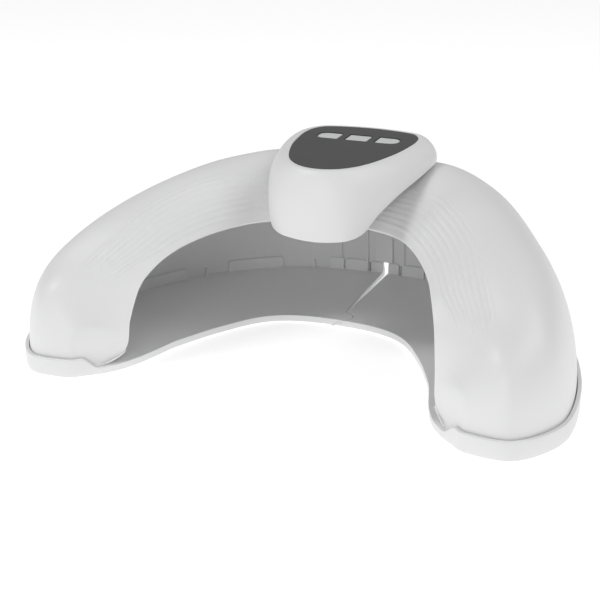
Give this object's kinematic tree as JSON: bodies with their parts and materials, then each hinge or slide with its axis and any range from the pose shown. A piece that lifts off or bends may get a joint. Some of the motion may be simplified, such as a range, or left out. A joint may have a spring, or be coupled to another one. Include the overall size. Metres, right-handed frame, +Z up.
{
  "type": "uv led nail lamp",
  "caption": "Two-hand nail curing lamp: two arched halves on a hinged floor plate, with a control pod and push buttons over the joint.",
  "frame": {"origin": "on the table under the middle of the bounding box", "axes": "+Z up, +Y from the front opening to the back wall, +X to the lamp's right half as seen from its front"},
  "size_m": [0.35, 0.2485, 0.1247],
  "materials": {
    "housing_white": "satin",
    "tray_white": "satin",
    "button_white": "satin",
    "panel_dark": "semi gloss",
    "circuit_board": "semi gloss",
    "lamp_bead": "glossy",
    "sensor_black": "glossy",
    "hinge_steel": "brushed",
    "foot_rubber": "matte"
  },
  "bodies": {
    "pod": {"pod_housing": "housing_white", "pod_cover": "tray_white", "pod_screws": "hinge_steel", "panel": "panel_dark", "control_board": "circuit_board", "switches": "sensor_black", "power_inlet": "sensor_black", "hinge_post": "hinge_steel", "post_clip": "hinge_steel"},
    "left_half": {"base_left": "housing_white", "shell_left": "housing_white", "arm_left": "hinge_steel", "tray_left": "tray_white", "board_left": "circuit_board", "beads_left": "lamp_bead", "sensor_left": "sensor_black", "feet_left": "foot_rubber", "screws_left": "hinge_steel", "seam_lip": "housing_white"},
    "right_half": {"base_right": "housing_white", "shell_right": "housing_white", "arm_right": "hinge_steel", "tray_right": "tray_white", "board_right": "circuit_board", "beads_right": "lamp_bead", "sensor_right": "sensor_black", "feet_right": "foot_rubber", "screws_right": "hinge_steel", "floor_pin": "hinge_steel"},
    "button_a": {"button_left": "button_white"},
    "button_b": {"button_middle": "button_white"},
    "button_c": {"button_right": "button_white"}
  },
  "joints": [
    {"name": "left_fold", "type": "hinge", "parent": "pod", "child": "left_half", "pos_m": [0, 0.025, 0.09], "axis": [0, 0, 1], "range_deg": [-1, 15]},
    {"name": "right_fold", "type": "hinge", "parent": "pod", "child": "right_half", "pos_m": [0, 0.025, 0.09], "axis": [0, 0, 1], "range_deg": [-15, 1]},
    {"name": "press_left", "type": "slide", "parent": "pod", "child": "button_a", "axis": [0, 0.0297, -0.9996], "range_m": [0, 0.0008], "stiffness_N_per_m": 400, "springref_m": -0.001},
    {"name": "press_middle", "type": "slide", "parent": "pod", "child": "button_b", "axis": [0, 0.0297, -0.9996], "range_m": [0, 0.0008], "stiffness_N_per_m": 400, "springref_m": -0.001},
    {"name": "press_right", "type": "slide", "parent": "pod", "child": "button_c", "axis": [0, 0.0297, -0.9996], "range_m": [0, 0.0008], "stiffness_N_per_m": 400, "springref_m": -0.001}
  ]
}
